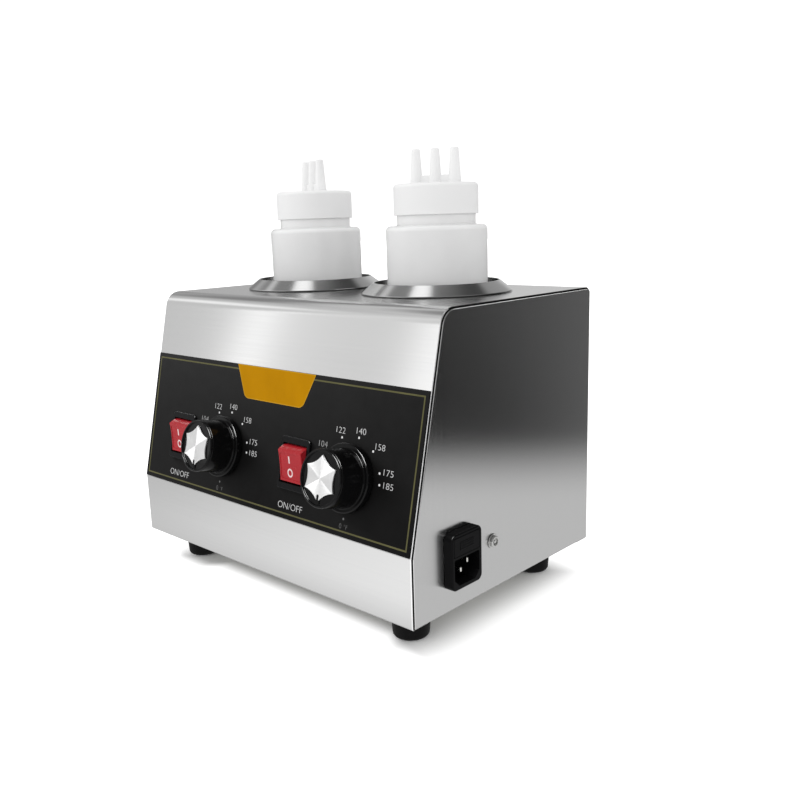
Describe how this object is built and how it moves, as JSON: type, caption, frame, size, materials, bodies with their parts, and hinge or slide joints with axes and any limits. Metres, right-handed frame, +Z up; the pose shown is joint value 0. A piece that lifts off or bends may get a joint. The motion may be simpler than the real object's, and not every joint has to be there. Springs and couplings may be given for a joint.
{
  "type": "sauce warmer",
  "caption": "Stainless countertop sauce warmer: heated wells hold nozzle-capped squeeze bottles above a sloping panel of thermostat knobs and rocker switches, with a fused inlet at the side.",
  "frame": {"origin": "centre of the bounding box's underside, on the surface that the feet stand on", "axes": "+X right as seen from the front, +Y back, away from the control panel, +Z up"},
  "size_m": [0.3078, 0.2258, 0.3223],
  "materials": {
    "casing_steel": "satin, folded sheet",
    "well_steel": "brushed round the axis",
    "plated_steel": "zinc plated",
    "earth_steel": "bright",
    "foot_rubber": "matte",
    "label_film": "satin print",
    "knob_black": "glossy",
    "star_foil": "spun radial",
    "switch_black": "semi-gloss",
    "rocker_red": "glossy",
    "inlet_black": "semi-gloss",
    "brass": "plain",
    "heater_sheath": "heat tinted",
    "mineral_wool": "fibrous",
    "bottle_plastic": "satin, slightly translucent",
    "block_plastic": "plain",
    "fuse_glass": "clear",
    "wire_brown": "matte",
    "wire_blue": "matte",
    "wire_green": "matte"
  },
  "bodies": {
    "casing": {"wrap_shell": "casing_steel", "side_panel_right": "casing_steel", "side_panel_left": "casing_steel", "base_plate": "plated_steel", "foot_front_left": "foot_rubber", "foot_front_right": "foot_rubber", "foot_back_left": "foot_rubber", "foot_back_right": "foot_rubber", "foot_screw_front_left": "plated_steel", "foot_screw_front_right": "plated_steel", "foot_screw_back_left": "plated_steel", "foot_screw_back_right": "plated_steel", "base_screw_front_left": "plated_steel", "base_screw_front_right": "plated_steel", "base_screw_back_left": "plated_steel", "base_screw_back_right": "plated_steel", "well_left": "well_steel", "well_right": "well_steel", "well_clamp_ring_left": "plated_steel", "well_clamp_ring_right": "plated_steel", "band_heater_left": "heater_sheath", "band_heater_right": "heater_sheath", "heater_clamp_screw_left": "plated_steel", "heater_clamp_screw_right": "plated_steel", "insulation_jacket_left": "mineral_wool", "insulation_jacket_right": "mineral_wool", "control_label": "label_film", "thermostat_left": "plated_steel", "thermostat_right": "plated_steel", "thermostat_nut_left": "brass", "thermostat_nut_right": "brass", "thermostat_sensor_left": "brass", "thermostat_sensor_right": "brass", "switch_housing_left": "switch_black", "switch_housing_right": "switch_black", "inlet_housing": "inlet_black", "inlet_pin_live": "brass", "inlet_pin_neutral": "brass", "inlet_pin_earth": "brass", "earth_screw": "earth_steel", "earth_washer": "earth_steel", "earth_nut": "brass", "terminal_block": "block_plastic", "wire_live": "wire_brown", "wire_neutral": "wire_blue", "wire_earth": "wire_green"},
    "left_knob": {"knob_left": "knob_black", "knob_star_left": "star_foil", "thermostat_shaft_left": "plated_steel"},
    "right_knob": {"knob_right": "knob_black", "knob_star_right": "star_foil", "thermostat_shaft_right": "plated_steel"},
    "left_rocker": {"rocker_left": "rocker_red"},
    "right_rocker": {"rocker_right": "rocker_red"},
    "left_bottle": {"bottle_left": "bottle_plastic"},
    "right_bottle": {"bottle_right": "bottle_plastic"},
    "left_cap": {"nozzle_cap_left": "bottle_plastic"},
    "right_cap": {"nozzle_cap_right": "bottle_plastic"},
    "drawer": {"fuse_drawer": "inlet_black", "fuse": "fuse_glass"}
  },
  "joints": [
    {"name": "left_knob_turn", "type": "hinge", "parent": "casing", "child": "left_knob", "pos_m": [-0.0514, -0.08252, 0.10868], "axis": [0, 0.9744, -0.2248], "range_deg": [0, 270]},
    {"name": "right_knob_turn", "type": "hinge", "parent": "casing", "child": "right_knob", "pos_m": [0.0843, -0.08252, 0.10868], "axis": [0, 0.9744, -0.2248], "range_deg": [0, 270]},
    {"name": "left_rocker_tilt", "type": "hinge", "parent": "casing", "child": "left_rocker", "pos_m": [-0.1048, -0.07979, 0.10805], "axis": [-1, 0, 0], "range_deg": [0, 29]},
    {"name": "right_rocker_tilt", "type": "hinge", "parent": "casing", "child": "right_rocker", "pos_m": [0.0309, -0.07979, 0.10805], "axis": [-1, 0, 0], "range_deg": [0, 29]},
    {"name": "left_bottle_lift", "type": "slide", "parent": "casing", "child": "left_bottle", "axis": [0, 0, 1], "range_m": [0, 0.15]},
    {"name": "right_bottle_lift", "type": "slide", "parent": "casing", "child": "right_bottle", "axis": [0, 0, 1], "range_m": [0, 0.15]},
    {"name": "left_cap_lift", "type": "slide", "parent": "left_bottle", "child": "left_cap", "axis": [0, 0, 1], "range_m": [0, 0.03]},
    {"name": "right_cap_lift", "type": "slide", "parent": "right_bottle", "child": "right_cap", "axis": [0, 0, 1], "range_m": [0, 0.03]},
    {"name": "fuse_drawer_slide", "type": "slide", "parent": "casing", "child": "drawer", "axis": [1, 0, 0], "range_m": [0, 0.02]}
  ]
}
